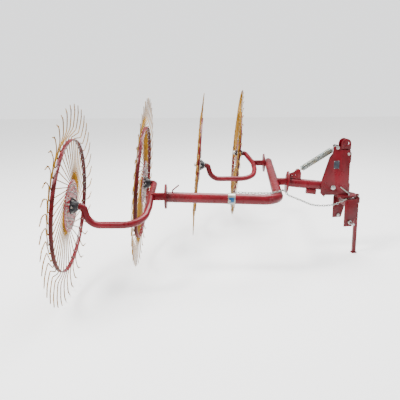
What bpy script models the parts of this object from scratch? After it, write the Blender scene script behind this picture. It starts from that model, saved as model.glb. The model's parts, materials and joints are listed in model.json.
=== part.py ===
"""Mounted wheel hay rake with four finger wheels.

Frame of the model, in metres: +Z up from the ground, +X towards the tractor,
+Y to the tractor's left. The origin is on the ground at the middle of the
bounding box. Every collection holds one named object for each sub-part; a
moving part hangs under an empty that stands on its joint's axis.
"""
import math

import bmesh
import bpy
from mathutils import Matrix, Vector

# ---------------------------------------------------------------- sizes
GAP = 0.0003                      # left between pieces that touch

# finger wheels
WHEEL_R = 0.700                   # over the tine tips
RING_R = 0.462                    # outer face of the hoop
RING_T = 0.007                    # hoop thickness
RING_W = 0.028                    # hoop width along the axle
DISC_R = 0.185                    # hub disc
DISC_T = 0.004
DISC_X = 0.008                    # hub disc's outer face, towards the arm
TINES = 40
TINE_R = 0.0035                   # wire radius
# way of a tine: radius, angle ahead of the tip in degrees, distance towards the arm
TINE_WAY = (
    (0.160, -24.3, 0.0055),       # root, on the back of the disc
    (0.472, 14.0, -0.0155),       # bend behind the hoop's edge
    (0.536, -3.6, -0.0070),       # corner
    (0.552, -5.0, -0.0060),
    (0.620, -4.6, -0.0020),
    (0.700, 0.0, 0.0040),         # tip
)
LEAN = math.radians(4.9)          # tops lean towards the tractor
HUB_Z = 0.69765
CENTRE_X = -0.0043                  # moves the whole so that its box is centred
PAIR = Vector((0.4198, 0.7780, 0.0))      # from first to second wheel of a rocker
NEAR_WHEEL = Vector((-1.1164, -1.2001, HUB_Z))
FAR_WHEEL = Vector((-0.2487, 0.4221, HUB_Z))

# rockers, one bent tube for two wheels
ARM_R = 0.025
AXLE_L = 0.0695                   # axle's length from the wheel to the arm
SHAFT_DX, FAR_SHAFT_DX = 0.525, 0.572     # shaft joint, from the rocker's first wheel
SHAFT_DY = 0.389
SHAFT_Z, FAR_SHAFT_Z = 0.668, 0.648
SHAFT_W = 0.050                   # square shaft
SHAFT_L = 0.105
PIN_R = 0.020
LOCK_DISC_R = 0.095
LOCK_DISC_T = 0.005

# frame tubes
TUBE_R = 0.040
TUBE_Z0, TUBE_Z1, TUBE_Z2 = 0.663, 0.636, 0.642      # at the near flange, the corner and the far end
TUBE_X0, TUBE_X1 = -0.4691, 0.3913
BORE_R = 0.0204
NEAR_Y = NEAR_WHEEL.y + SHAFT_DY
FAR_Y = FAR_WHEEL.y + SHAFT_DY

# boom and headstock
BOOM_Y = -0.225
BOOM_DISC_X = 0.5323
LIFT_X, LIFT_Z = 0.9263, 0.6135
BOOM_SLOPE = math.radians(6.1)
PLATE_T = 0.008
PLATE_Y = 0.051                   # middle of each headstock plate from BOOM_Y
POST_X = 1.0453
POST_R = 0.025
SWIVEL_R = 0.095
SWIVEL_Z = 0.548                  # top of the swivel disc
HITCH_TURN = math.radians(10.0)   # the hitch stands turned to the boom
LOCK_R = 0.077                    # lock pin, from the post
LOCK_AT = math.radians(-80.0)
LINK_Y = 0.123                    # link plates, from the middle
LINK_Z = 0.325                    # link pins
STAND_DX = 0.112                  # parking leg, from the post
LEG_W = 0.029


# ---------------------------------------------------------------- scene
for old in list(bpy.data.objects):
    bpy.data.objects.remove(old, do_unlink=True)
model = bpy.data.collections.new("wheel_hay_rake")
cutters = bpy.data.collections.new("cutters")
for c in (model, cutters):
    bpy.context.scene.collection.children.link(c)


def material(name, color, rough, metal=0.0):
    m = bpy.data.materials.new(name)
    m.use_nodes = True
    b = m.node_tree.nodes["Principled BSDF"]
    b.inputs["Base Color"].default_value = (*color, 1)
    b.inputs["Roughness"].default_value = rough
    b.inputs["Metallic"].default_value = metal
    m.diffuse_color = (*color, 1)
    return m


FINISH = {                        # finish: colour, roughness, metallic
    "red": ((0.42, 0.012, 0.03), 0.35, 0.0),
    "tine": ((0.55, 0.25, 0.02), 0.4, 0.3),
    "black": ((0.02, 0.02, 0.025), 0.5, 0.0),
    "zinc": ((0.62, 0.62, 0.6), 0.35, 1.0),
    "label": ((0.03, 0.03, 0.04), 0.45, 0.0),
}


def finish(obj, name, kind, parent=None):
    """Name an object, give it its own material and hang it under its empty."""
    obj.name = name
    obj.data.name = name
    obj.data.materials.clear()
    obj.data.materials.append(material(name, *FINISH[kind]))
    for c in list(obj.users_collection):
        c.objects.unlink(obj)
    model.objects.link(obj)
    if parent is not None:
        obj.parent = parent
        obj.matrix_parent_inverse = parent.matrix_world.inverted()
    return obj


def pivot(name, place, parent=None):
    e = bpy.data.objects.new(name, None)
    e.empty_display_size = 0.1
    model.objects.link(e)
    e.location = place
    bpy.context.view_layer.update()
    if parent is not None:
        e.parent = parent
        e.matrix_parent_inverse = parent.matrix_world.inverted()
    bpy.context.view_layer.update()
    return e


def from_bmesh(bm, matrix=None):
    me = bpy.data.meshes.new("shape")
    bm.normal_update()
    bm.to_mesh(me)
    bm.free()
    ob = bpy.data.objects.new("shape", me)
    bpy.context.scene.collection.objects.link(ob)
    if matrix is not None:
        ob.matrix_world = matrix
    bpy.context.view_layer.update()
    return ob


def box(size, place, turn=None):
    bm = bmesh.new()
    bmesh.ops.create_cube(bm, size=1.0)
    bmesh.ops.scale(bm, vec=Vector(size), verts=bm.verts)
    m = Matrix.Translation(Vector(place))
    if turn is not None:
        m = m @ turn
    return from_bmesh(bm, m)


def rod(p0, p1, r, sides=16, r2=None):
    """Solid round bar from p0 to p1."""
    p0, p1 = Vector(p0), Vector(p1)
    d = p1 - p0
    bm = bmesh.new()
    bmesh.ops.create_cone(bm, cap_ends=True, segments=sides, radius1=r,
                          radius2=r if r2 is None else r2, depth=d.length)
    m = Matrix.Translation((p0 + p1) / 2) @ d.to_track_quat("Z", "Y").to_matrix().to_4x4()
    return from_bmesh(bm, m)


def turned(profile, place, axis, steps=32):
    """Turned shape: (radius, height) pairs from top to bottom, on axis."""
    me = bpy.data.meshes.new("profile")
    pts = [(r, 0.0, h) for r, h in profile]
    me.from_pydata(pts, [(i, i + 1) for i in range(len(pts) - 1)], [])
    ob = bpy.data.objects.new("turned", me)
    bpy.context.scene.collection.objects.link(ob)
    s = ob.modifiers.new("Screw", "SCREW")
    s.steps = s.render_steps = steps
    s.use_merge_vertices = True
    s.merge_threshold = 0.00005
    ob.matrix_world = (Matrix.Translation(Vector(place))
                       @ Vector(axis).to_track_quat("Z", "Y").to_matrix().to_4x4())
    bpy.context.view_layer.update()
    return ob


def ring_profile(r_out, r_in, top, bottom):
    """Closed profile of a plain ring, down its outer side."""
    return [(r_in, top), (r_out, top), (r_out, bottom), (r_in, bottom), (r_in, top)]


def pipe(points, r, res=3, cyclic=False):
    cu = bpy.data.curves.new("pipe", "CURVE")
    cu.dimensions = "3D"
    sp = cu.splines.new("POLY")
    sp.points.add(len(points) - 1)
    for i, p in enumerate(points):
        sp.points[i].co = (*p, 1.0)
    sp.use_cyclic_u = cyclic
    cu.bevel_depth = r
    cu.bevel_resolution = res
    cu.use_fill_caps = not cyclic
    ob = bpy.data.objects.new("pipe", cu)
    bpy.context.scene.collection.objects.link(ob)
    bpy.context.view_layer.update()
    return ob


def plate(outline, holes, thick, matrix):
    """Flat plate in the local XY plane; holes are (x, y, r)."""
    cu = bpy.data.curves.new("plate", "CURVE")
    cu.dimensions = "2D"
    cu.fill_mode = "BOTH"
    cu.extrude = thick / 2
    loops = [outline] + [[(x + r * math.cos(a * math.tau / 16), y + r * math.sin(a * math.tau / 16))
                          for a in range(16)] for x, y, r in holes]
    for loop in loops:
        sp = cu.splines.new("POLY")
        sp.points.add(len(loop) - 1)
        for i, p in enumerate(loop):
            sp.points[i].co = (p[0], p[1], 0.0, 1.0)
        sp.use_cyclic_u = True
    ob = bpy.data.objects.new("plate", cu)
    bpy.context.scene.collection.objects.link(ob)
    ob.matrix_world = matrix
    bpy.context.view_layer.update()
    return ob


def as_mesh(ob):
    """The evaluated object as a plain mesh object, its caps welded."""
    bpy.context.view_layer.update()
    ev = ob.evaluated_get(bpy.context.evaluated_depsgraph_get())
    me = bpy.data.meshes.new_from_object(ev)
    bm = bmesh.new()
    bm.from_mesh(me)
    bmesh.ops.remove_doubles(bm, verts=bm.verts, dist=0.00002)
    bmesh.ops.recalc_face_normals(bm, faces=bm.faces)
    bm.to_mesh(me)
    bm.free()
    new = bpy.data.objects.new("mesh", me)
    bpy.context.scene.collection.objects.link(new)
    new.matrix_world = ob.matrix_world.copy()
    bpy.data.objects.remove(ob, do_unlink=True)
    bpy.context.view_layer.update()
    return new


def combine(ob, others, op):
    """Boolean ob with each of others, applied."""
    ob = as_mesh(ob)
    for other in others:
        other = as_mesh(other)
        b = ob.modifiers.new("Boolean", "BOOLEAN")
        b.operation = op
        b.solver = "EXACT"
        b.object = other
        new = as_mesh(ob)
        bpy.data.objects.remove(other, do_unlink=True)
        ob = new
    return ob


def join(ob, *others):
    return combine(ob, others, "UNION")


def cut(ob, *others):
    return combine(ob, others, "DIFFERENCE")


def rounded(points, radii, steps=5):
    """Path through points with a circular bend of radii[i] at point i."""
    pts = [Vector(p) for p in points]
    out = [pts[0]]
    for i in range(1, len(pts) - 1):
        a = (pts[i - 1] - pts[i]).normalized()
        b = (pts[i + 1] - pts[i]).normalized()
        r = radii[i]
        ang = a.angle(b)
        if r <= 0 or ang > math.pi - 1e-4:
            out.append(pts[i])
            continue
        t = r / math.tan(ang / 2)
        centre = pts[i] + (a + b).normalized() * (r / math.sin(ang / 2))
        s, e = pts[i] + a * t - centre, pts[i] + b * t - centre
        sweep = s.angle(e)
        for k in range(steps + 1):
            f = k / steps
            out.append(centre + (s * math.sin((1 - f) * sweep) + e * math.sin(f * sweep)) / math.sin(sweep))
    out.append(pts[-1])
    return out


def arc(cx, cy, r, a0, a1, n):
    return [(cx + r * math.cos(math.radians(a0 + (a1 - a0) * k / n)),
             cy + r * math.sin(math.radians(a0 + (a1 - a0) * k / n))) for k in range(n + 1)]


# ---------------------------------------------------------------- pivots
root = pivot("hitch", (POST_X, BOOM_Y, 0.0))
turret = pivot("turret", (POST_X, BOOM_Y, LIFT_Z), root)
boom = pivot("boom", (LIFT_X, BOOM_Y, LIFT_Z), turret)
near_rocker = pivot("rocker_near", (NEAR_WHEEL.x + SHAFT_DX, NEAR_Y, SHAFT_Z), boom)
far_rocker = pivot("rocker_far", (FAR_WHEEL.x + FAR_SHAFT_DX, FAR_Y, FAR_SHAFT_Z), boom)
HITCH = Matrix.Translation((POST_X, BOOM_Y, 0)) @ Matrix.Rotation(HITCH_TURN, 4, "Z")
leg = pivot("stand_slide", HITCH @ Vector((STAND_DX, 0, 0.5)), root)

# ---------------------------------------------------------------- finger wheels
LEANED = Matrix.Rotation(LEAN, 4, "Y")


def tine_points(turn):
    """Points along a tine; turn is the tip's angle."""
    out = []
    for r, ahead, x in TINE_WAY:
        a = turn + math.radians(ahead)
        out.append(Vector((x, r * math.cos(a), r * math.sin(a))))
    return out


def finger_wheel():
    """Hoop, tines and hub disc as one body, axle along local X."""
    hoop = turned(ring_profile(RING_R, RING_R - RING_T, RING_W / 2, -RING_W / 2), (0, 0, 0), (1, 0, 0), TINES)
    disc = turned(ring_profile(DISC_R, 0.030, DISC_X + DISC_T, DISC_X), (0, 0, 0), (1, 0, 0), 24)
    bm = bmesh.new()
    for k in range(TINES):
        # the lowest two tips stand level on the ground
        turn = -math.pi / 2 + (k + 0.5) * math.tau / TINES
        pts = tine_points(turn)
        rings = []
        for i, p in enumerate(pts):
            d = (pts[min(i + 1, len(pts) - 1)] - pts[max(i - 1, 0)]).normalized()
            side = Vector((1, 0, 0)).cross(d).normalized()
            top = d.cross(side)
            rings.append([bm.verts.new(p + (side * math.cos(q) + top * math.sin(q)) * TINE_R * 1.2)
                          for q in (math.pi / 2, math.pi * 7 / 6, math.pi * 11 / 6)])
        for a, b in zip(rings, rings[1:]):
            for j in range(3):
                bm.faces.new((a[j], a[(j + 1) % 3], b[(j + 1) % 3], b[j]))
        bm.faces.new(rings[0][::-1])
        bm.faces.new(rings[-1])
    bmesh.ops.recalc_face_normals(bm, faces=bm.faces)
    tines = from_bmesh(bm)
    return join(join(hoop, tines), disc)


wheel_master = finger_wheel()
hub_profile = [(0.0165, 0.062), (0.033, 0.062), (0.036, 0.052), (0.036, 0.0215), (0.060, 0.0205),
               (0.060, DISC_X + DISC_T + GAP), (0.029, DISC_X + DISC_T + GAP), (0.029, -0.016),
               (0.0165, -0.016), (0.0165, 0.062)]
axle_profile = [(0.0, AXLE_L), (0.0245, AXLE_L), (0.0245, 0.0645), (0.0158, 0.0640), (0.0158, -0.0215),
              (0.026, -0.0225), (0.024, -0.040), (0.0, -0.044)]
for number, place, rocker in ((1, NEAR_WHEEL, near_rocker), (2, NEAR_WHEEL + PAIR, near_rocker),
                              (3, FAR_WHEEL, far_rocker), (4, FAR_WHEEL + PAIR, far_rocker)):
    hub_pivot = pivot("wheel_%d_axle" % number, place, rocker)
    set_at = Matrix.Translation(place) @ LEANED
    w = bpy.data.objects.new("wheel", wheel_master.data.copy())
    bpy.context.scene.collection.objects.link(w)
    w.matrix_world = set_at @ wheel_master.matrix_world
    bpy.context.view_layer.update()
    finish(w, "finger_wheel_%d" % number, "tine", hub_pivot)
    axis = LEANED.to_3x3() @ Vector((1, 0, 0))
    finish(turned(hub_profile, place, axis, 16), "wheel_hub_%d" % number, "black", hub_pivot)
    finish(turned(axle_profile, place, axis, 14), "wheel_axle_%d" % number, "zinc", rocker)
bpy.data.objects.remove(wheel_master, do_unlink=True)

# ---------------------------------------------------------------- rockers
AXIS = LEANED.to_3x3() @ Vector((1, 0, 0))
# way of the bent tube from its first wheel: x, y, z, bend radius
def arm_way(dx, dz):
    """dx and dz move the shaft's side of the arm."""
    return (
        (AXLE_L + GAP, 0.0, 0.0, 0.0),
        (0.094, 0.0, -0.0081, 0.026),
        (0.132, 0.0, -0.142, 0.10),
        (0.500 + dx * 0.9, 0.0, -0.142, 0.16),
        (0.530 + dx, 0.22, -0.066 + dz, 0.30),
        (0.525 + dx, 0.389, -0.028 + dz, 0.40),
        (0.5169, 0.778, -0.0083, 0.027),
    )


for name, first, shaft_y, shaft_z, dx, rocker in (("near", NEAR_WHEEL, NEAR_Y, SHAFT_Z, SHAFT_DX, near_rocker),
                                                  ("far", FAR_WHEEL, FAR_Y, FAR_SHAFT_Z, FAR_SHAFT_DX, far_rocker)):
    route = arm_way(dx - SHAFT_DX, shaft_z - SHAFT_Z)
    way = [first + Vector(p[:3]) for p in route]
    way[0] = first + AXIS * (AXLE_L + GAP)
    way.append(first + PAIR + AXIS * (AXLE_L + GAP))
    arm = as_mesh(pipe(rounded(way, [p[3] for p in route] + [0.0], 4), ARM_R, 3))
    shaft_x = first.x + dx
    shaft = box((SHAFT_L, SHAFT_W, SHAFT_W), (shaft_x + SHAFT_L / 2 + 0.005, shaft_y, shaft_z))
    disc_x = shaft_x + 0.005 + SHAFT_L
    disc = turned([(0.0, disc_x + LOCK_DISC_T), (LOCK_DISC_R, disc_x + LOCK_DISC_T), (LOCK_DISC_R, disc_x - 0.001), (0.0, disc_x - 0.001)],
                  (0, shaft_y, shaft_z), (1, 0, 0), 32)
    pin = rod((disc_x, shaft_y, shaft_z), (disc_x + 0.055, shaft_y, shaft_z), PIN_R, 20)
    finish(arm, "rocker_arm_" + name, "red", rocker)
    # the shaft butts on the bent tube through a notch of its shape
    notch = as_mesh(pipe(rounded(way, [p[3] for p in route] + [0.0], 4), ARM_R + GAP, 3))
    piece = cut(join(shaft, disc, pin), notch)
    finish(piece, "rocker_pivot_" + name, "red", rocker)

# ---------------------------------------------------------------- frame
def tube_z(x):
    """Height of the near run's middle line."""
    return TUBE_Z0 + (TUBE_Z1 - TUBE_Z0) * (x - TUBE_X0) / (TUBE_X1 - TUBE_X0)


near_disc_x = NEAR_WHEEL.x + SHAFT_DX + 0.005 + SHAFT_L + LOCK_DISC_T + 0.002
far_disc_x = FAR_WHEEL.x + FAR_SHAFT_DX + 0.005 + SHAFT_L + LOCK_DISC_T + 0.002
tube_start = near_disc_x + LOCK_DISC_T + GAP
cross_far = Vector((far_disc_x + LOCK_DISC_T + TUBE_R + 0.0065, FAR_Y, TUBE_Z2))
tube_way = [(tube_start + 0.0011, NEAR_Y, TUBE_Z0), (TUBE_X1, NEAR_Y, TUBE_Z1),
            (cross_far.x + 0.004, FAR_Y + 0.085, TUBE_Z2)]
tube = as_mesh(pipe(rounded(tube_way, [0, 0.14, 0], 7), TUBE_R, 4))
bores = [rod((tube_start - 0.02, NEAR_Y, SHAFT_Z), (tube_start + 0.060, NEAR_Y, SHAFT_Z), BORE_R + 0.0005, 20),
         rod((far_disc_x - 0.02, FAR_Y, FAR_SHAFT_Z), (far_disc_x + 0.062, FAR_Y, FAR_SHAFT_Z), BORE_R + 0.0005, 20)]
finish(cut(tube, *bores), "frame_tube", "red", boom)
for name, x, y, z in (("near", near_disc_x, NEAR_Y, SHAFT_Z), ("far", far_disc_x, FAR_Y, FAR_SHAFT_Z)):
    disc = turned(ring_profile(LOCK_DISC_R, BORE_R + 0.0005, x + LOCK_DISC_T, x), (0, y, z), (1, 0, 0), 32)
    if name == "far":             # a collar carries it out from the side of the tube
        collar = turned(ring_profile(0.036, BORE_R + 0.0005, x + 0.045, x + 0.004), (0, y, z), (1, 0, 0), 24)
        around = as_mesh(pipe(rounded(tube_way, [0, 0.14, 0], 7), TUBE_R + GAP * 1.5, 4))
        disc = cut(join(disc, collar), around)
    finish(disc, "frame_disc_" + name, "red", boom)
cap_y = FAR_Y + 0.085
cross_dir = (Vector(tube_way[2]) - Vector(tube_way[1])).normalized()
finish(turned([(0.0, 0.006), (TUBE_R + 0.002, 0.006), (TUBE_R + 0.002, GAP), (0.0, GAP)],
              (cross_far.x + 0.004, cap_y, TUBE_Z2), cross_dir, 24), "tube_end_cap", "black", boom)
handle = Vector((near_disc_x + 0.050, NEAR_Y - 0.01, tube_z(near_disc_x + 0.050) + TUBE_R))
finish(pipe(rounded([handle + Vector((0, 0, 0.001)), handle + Vector((0.002, 0, 0.018)), handle + Vector((0.050, 0, 0.058))], [0, 0.008, 0], 3), 0.005, 2),
       "lock_handle_near", "red", boom)
clamp_x = 0.0263
near_dir = (Vector(tube_way[1]) - Vector(tube_way[0])).normalized()
finish(turned(ring_profile(TUBE_R + 0.0045, TUBE_R + 0.0008, 0.028, -0.028), (clamp_x, NEAR_Y, tube_z(clamp_x)), near_dir, 24),
       "band_clamp", "zinc", boom)

# ---------------------------------------------------------------- boom
cross_x = tube_way[1][0] + (BOOM_Y - NEAR_Y) / cross_dir.y * cross_dir.x
slope_z = math.tan(BOOM_SLOPE)
disc_z = LIFT_Z + (LIFT_X - BOOM_DISC_X) * slope_z
stub = box((BOOM_DISC_X - cross_x - TUBE_R + 0.012, 0.055, 0.055),
           ((BOOM_DISC_X + cross_x + TUBE_R - 0.012) / 2, BOOM_Y, disc_z + 0.004))
tube_copy = as_mesh(pipe(rounded(tube_way, [0, 0.14, 0], 7), TUBE_R + GAP * 1.5, 4))
stub = cut(stub, tube_copy)
run = Vector((math.cos(BOOM_SLOPE), 0, -math.sin(BOOM_SLOPE)))
disc = turned([(0.0, 0.012), (SWIVEL_R, 0.012), (SWIVEL_R, 0.0), (0.0, 0.0)], (BOOM_DISC_X - 0.002, BOOM_Y, disc_z), run, 32)
finish(join(stub, disc), "boom_stub", "red", boom)
lift = Vector((LIFT_X, BOOM_Y, LIFT_Z))
beam_start = Vector((BOOM_DISC_X - 0.002, BOOM_Y, disc_z)) + run * (0.012 + GAP)
beam = rod(beam_start, lift + run * 0.020, TUBE_R, 24)
finish(cut(beam, rod(lift - Vector((0, 0.06, 0)), lift + Vector((0, 0.06, 0)), 0.0158, 20)), "boom_tube", "red", boom)
TURN_XZ = Matrix.Rotation(math.radians(90), 4, "X")          # local XY plane becomes XZ, facing -Y
# spring bracket: two cheeks on a saddle plate, with a cross pin for the eye
SLOPED = Matrix.Rotation(BOOM_SLOPE, 4, "Y")
bracket = Matrix.Translation(beam_start + run * 0.058 + Vector((0, 0, TUBE_R / math.cos(BOOM_SLOPE) + GAP))) @ SLOPED
cheek = [(-0.048, 0.001), (0.052, 0.001), (0.048, 0.056), (0.034, 0.082), (0.010, 0.082), (-0.008, 0.054), (-0.048, 0.032)]
EYE_X, EYE_Z = 0.022, 0.066
pieces = [plate(cheek, [(-0.024, 0.022, 0.006), (0.004, 0.026, 0.006)], 0.006,
                bracket @ Matrix.Translation((0, side * 0.018, 0)) @ TURN_XZ) for side in (-1, 1)]
eye_at = bracket @ Vector((EYE_X, 0, EYE_Z))
pieces.append(rod(bracket @ Vector((EYE_X, -0.020, EYE_Z)), bracket @ Vector((EYE_X, 0.020, EYE_Z)), 0.006, 12))
pieces.append(box((0.100, 0.036, 0.006), bracket @ Vector((0.002, 0, 0.0035)), SLOPED))
finish(join(pieces[3], *pieces[:3]), "spring_bracket", "red", boom)
stop_at = lift - run * 0.182 + Vector((0, 0, -TUBE_R / math.cos(BOOM_SLOPE) - 0.0205 - GAP))
finish(box((0.085, 0.050, 0.041), stop_at, SLOPED), "boom_rest_block", "red", boom)

# ---------------------------------------------------------------- headstock that swivels
foot_z = SWIVEL_Z + GAP - LIFT_Z
outline = [(-0.110, -0.048), (-0.074, -0.085), (-0.069, foot_z), (0.1335, foot_z), (0.1335, 0.324),
           (0.052, 0.324), (0.049, 0.345), (0.036, 0.358), (0.000, 0.358), (-0.0125, 0.346), (-0.0136, 0.287),
           (-0.0425, 0.248), (-0.100, 0.053)]
bolt_high = Vector((0.9483, BOOM_Y, 0.9596))
far_outline = [(x + 0.022, z) if x < -0.012 else (x, z) for x, z in outline]
for name, side in (("near", -1), ("far", 1)):
    m = Matrix.Translation((LIFT_X, BOOM_Y + side * PLATE_Y, LIFT_Z)) @ TURN_XZ
    finish(plate(outline if side < 0 else far_outline, [(0, 0, 0.0155), (bolt_high.x - LIFT_X, bolt_high.z - LIFT_Z, 0.0105)], PLATE_T, m),
           "headstock_plate_" + name, "red", turret)
for name, at, r, head in (("lift_pin", lift, 0.015, 0.021), ("spring_bolt", bolt_high, 0.010, 0.016)):
    o = PLATE_Y + PLATE_T / 2 + 0.0005
    finish(turned([(0, o + 0.011), (head * 0.8, o + 0.011), (head, o + 0.008), (head, o), (r, o), (r, -o), (head, -o), (head, -o - 0.008),
                   (head * 0.8, -o - 0.011), (0, -o - 0.011)], at, (0, 1, 0), 14), name, "zinc", turret)
collar_y = PLATE_Y - PLATE_T / 2 - GAP
collar = [(-0.036, -collar_y), (0.020, -collar_y)] + arc(0, 0, 0.036, -40, 40, 8) + [(0.020, collar_y), (-0.036, collar_y)]
for name, low, high in (("lower", SWIVEL_Z + GAP, 0.640), ("upper", 0.830, 0.910)):
    finish(plate(collar, [(0, 0, POST_R + 0.001)], high - low, Matrix.Translation((POST_X, BOOM_Y, (low + high) / 2))),
           "post_collar_" + name, "red", turret)
lock = Vector((LOCK_R * math.cos(LOCK_AT), LOCK_R * math.sin(LOCK_AT), 0))
round_edge = arc(0, 0, SWIVEL_R, 0, 351, 39)
post = Vector((POST_X, BOOM_Y, 0))
finish(plate(round_edge, [(0, 0, POST_R + 0.001), (lock.x, lock.y, 0.0066)], 0.008, Matrix.Translation(post + Vector((0, 0, SWIVEL_Z - 0.004)))),
       "swivel_disc", "red", turret)
pin_low, pin_top = SWIVEL_Z - 0.027, SWIVEL_Z + 0.016
finish(pipe(rounded([post + lock + Vector((0, 0, pin_low)), post + lock + Vector((0, 0, pin_top)), post + lock + Vector((-0.076, -0.006, pin_top + 0.062))],
                    [0, 0.014, 0], 4), 0.006, 2), "swivel_lock_pin", "zinc", turret)
finish(box((0.047, 0.0015, 0.070), (0.9453, BOOM_Y - PLATE_Y - PLATE_T / 2 - 0.0011, 0.814)), "blank_plate", "label", turret)

# ---------------------------------------------------------------- tension spring
hook_dir = (bolt_high - eye_at).normalized()
span = (bolt_high - eye_at).length
coil0, coil1 = eye_at + hook_dir * 0.034, bolt_high - hook_dir * 0.046
finish(rod(coil0, coil1, 0.025, 20), "tension_spring", "zinc", boom)


def hook(centre, towards, r, wire, inner):
    """Open eye round a pin, with its shank to the coil."""
    side = Vector((0, 1, 0)).cross(towards).normalized()
    ring = [centre - towards * (inner * math.cos(a)) + side * (inner * math.sin(a))
            for a in (math.radians(-118 + 236 * k / 9) for k in range(10))]
    return ring


for name, centre, way, reach, inner in (("lower", eye_at, hook_dir, 0.034, 0.0135), ("upper", bolt_high, -hook_dir, 0.046, 0.0175)):
    ring = hook(centre, way, 0.0, 0.005, inner)
    shank = [centre + way * (reach - GAP - 0.004), centre + way * (reach - GAP)]
    finish(pipe(ring + shank, 0.0035, 1), "spring_eye_" + name, "zinc", boom)

# ---------------------------------------------------------------- hitch, fixed to the tractor
DISC_LOW = SWIVEL_Z - 0.018
slot_a = math.degrees(LOCK_AT - HITCH_TURN)
slot = (arc(0, 0, LOCK_R + 0.0075, slot_a - 31, slot_a + 31, 10)
        + [(LOCK_R * math.cos(math.radians(slot_a + 31 + 5.5)), LOCK_R * math.sin(math.radians(slot_a + 31 + 5.5)))]
        + arc(0, 0, LOCK_R - 0.0075, slot_a + 31, slot_a - 31, 10)
        + [(LOCK_R * math.cos(math.radians(slot_a - 31 - 5.5)), LOCK_R * math.sin(math.radians(slot_a - 31 - 5.5)))])
base = plate(round_edge, [], 0.008, HITCH @ Matrix.Translation((0, 0, DISC_LOW + 0.004)))
sp = base.data.splines.new("POLY")
sp.points.add(len(slot) - 1)
for i, p in enumerate(slot):
    sp.points[i].co = (p[0], p[1], 0.0, 1.0)
sp.use_cyclic_u = True
finish(base, "hitch_disc", "red", root)
finish(rod(post + Vector((0, 0, DISC_LOW + 0.008 + GAP)), post + Vector((0, 0, 0.975)), POST_R, 24), "swivel_post", "red", root)
tongue_z = 0.9445
tongue = [(-0.071, tongue_z), (0.017, tongue_z)] + arc(-0.027, 0.990, 0.044, 0, 180, 10)
for name, side in (("near", -1), ("far", 1)):
    m = HITCH @ Matrix.Translation((0, side * (POST_R + GAP + PLATE_T / 2), 0)) @ TURN_XZ
    finish(plate(tongue, [(-0.014, 0.993, 0.0125)], PLATE_T, m), "top_link_plate_" + name, "red", root)
BAR_Z0, BAR_Z1 = 0.455, 0.514
finish(turned([(0, DISC_LOW - GAP), (0.040, DISC_LOW - GAP), (0.040, BAR_Z1 + GAP), (0, BAR_Z1 + GAP)], post, (0, 0, 1), 24),
       "hitch_neck", "red", root)
finish(box((0.060, 2 * (LINK_Y - 0.005 - GAP), BAR_Z1 - BAR_Z0), HITCH @ Vector((0, 0, (BAR_Z0 + BAR_Z1) / 2)), Matrix.Rotation(HITCH_TURN, 4, "Z")),
       "hitch_crossbar", "red", root)
link = [(-0.053, 0.303), (0.026, 0.303), (0.055, 0.400), (0.055, 0.520), (-0.036, 0.520), (-0.053, 0.500)]
long_link = [(-0.053, 0.287), (0.020, 0.287)] + link[2:]
for name, side in (("near", -1), ("far", 1)):
    m = HITCH @ Matrix.Translation((0, side * LINK_Y, 0)) @ TURN_XZ
    finish(plate(link if side > 0 else long_link, [(-0.002, LINK_Z, 0.0113)], 0.010, m), "link_plate_" + name, "red", root)
    finish(turned([(0, 0.085), (0.009, 0.085), (0.011, 0.082), (0.011, 0.0145), (0.018, 0.0145), (0.018, 0.0055), (0.011, 0.0055), (0.011, -0.0055),
                   (0.018, -0.0055), (0.018, -0.014), (0, -0.014)],
                  HITCH @ Vector((-0.002, side * LINK_Y, LINK_Z)), HITCH.to_3x3() @ Vector((0, side, 0)), 14), "link_pin_" + name, "zinc", root)

# ---------------------------------------------------------------- parking leg
def at_hitch(x, y, z):
    return HITCH @ Vector((x, y, z))


TURNED = Matrix.Rotation(HITCH_TURN, 4, "Z")
SLEEVE_Z0, SLEEVE_Z1, SLEEVE_W = 0.460, 0.512, 0.041
finish(box((STAND_DX - SLEEVE_W / 2 - 0.030 - 2 * GAP, 0.036, 0.030), at_hitch((STAND_DX - SLEEVE_W / 2 + 0.030) / 2, 0, 0.487), TURNED), "stand_arm", "red", root)
sleeve = box((SLEEVE_W, SLEEVE_W, SLEEVE_Z1 - SLEEVE_Z0), at_hitch(STAND_DX, 0, (SLEEVE_Z0 + SLEEVE_Z1) / 2), TURNED)
finish(cut(sleeve, box((LEG_W + 0.002, LEG_W + 0.002, 0.1), at_hitch(STAND_DX, 0, (SLEEVE_Z0 + SLEEVE_Z1) / 2), TURNED)), "stand_sleeve", "red", root)
leg_tube = box((LEG_W, LEG_W, 0.541 - 0.008 - GAP), at_hitch(STAND_DX, 0, (0.541 + 0.008 + GAP) / 2), TURNED)
PIN_Z = 0.526
finish(cut(leg_tube, rod(at_hitch(STAND_DX, -0.03, PIN_Z), at_hitch(STAND_DX, 0.03, PIN_Z), 0.0053, 12)), "parking_leg", "red", leg)
finish(box((0.047, 0.047, 0.008), at_hitch(STAND_DX, 0, 0.004), TURNED), "parking_foot", "red", leg)
finish(rod(at_hitch(STAND_DX, -0.030, PIN_Z), at_hitch(STAND_DX, 0.030, PIN_Z), 0.005, 12), "parking_leg_pin", "zinc", leg)

# ---------------------------------------------------------------- lift chain
hook_end = at_hitch(-0.030, -LINK_Y + 0.0, 0.526)
chain_way = [(clamp_x + 0.033, NEAR_Y + 0.010, tube_z(clamp_x) + TUBE_R + 0.0070), (clamp_x + 0.19, NEAR_Y + 0.018, tube_z(0.216) + TUBE_R + 0.0064),
             (0.3263, NEAR_Y + 0.030, tube_z(0.3263) + TUBE_R + 0.0066), (0.3913, NEAR_Y + 0.075, TUBE_Z1 + TUBE_R + 0.0075), (0.4483, -0.650, TUBE_Z1 + TUBE_R - 0.001),
             (0.4963, -0.600, TUBE_Z1 - 0.012), (0.596, -0.545, 0.572), (0.716, -0.480, 0.513), (0.836, -0.420, 0.491), (0.936, -0.375, 0.494),
             (0.981, -0.350, 0.510), tuple(hook_end + Vector((-0.010, -0.004, 0.002)))]


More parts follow.
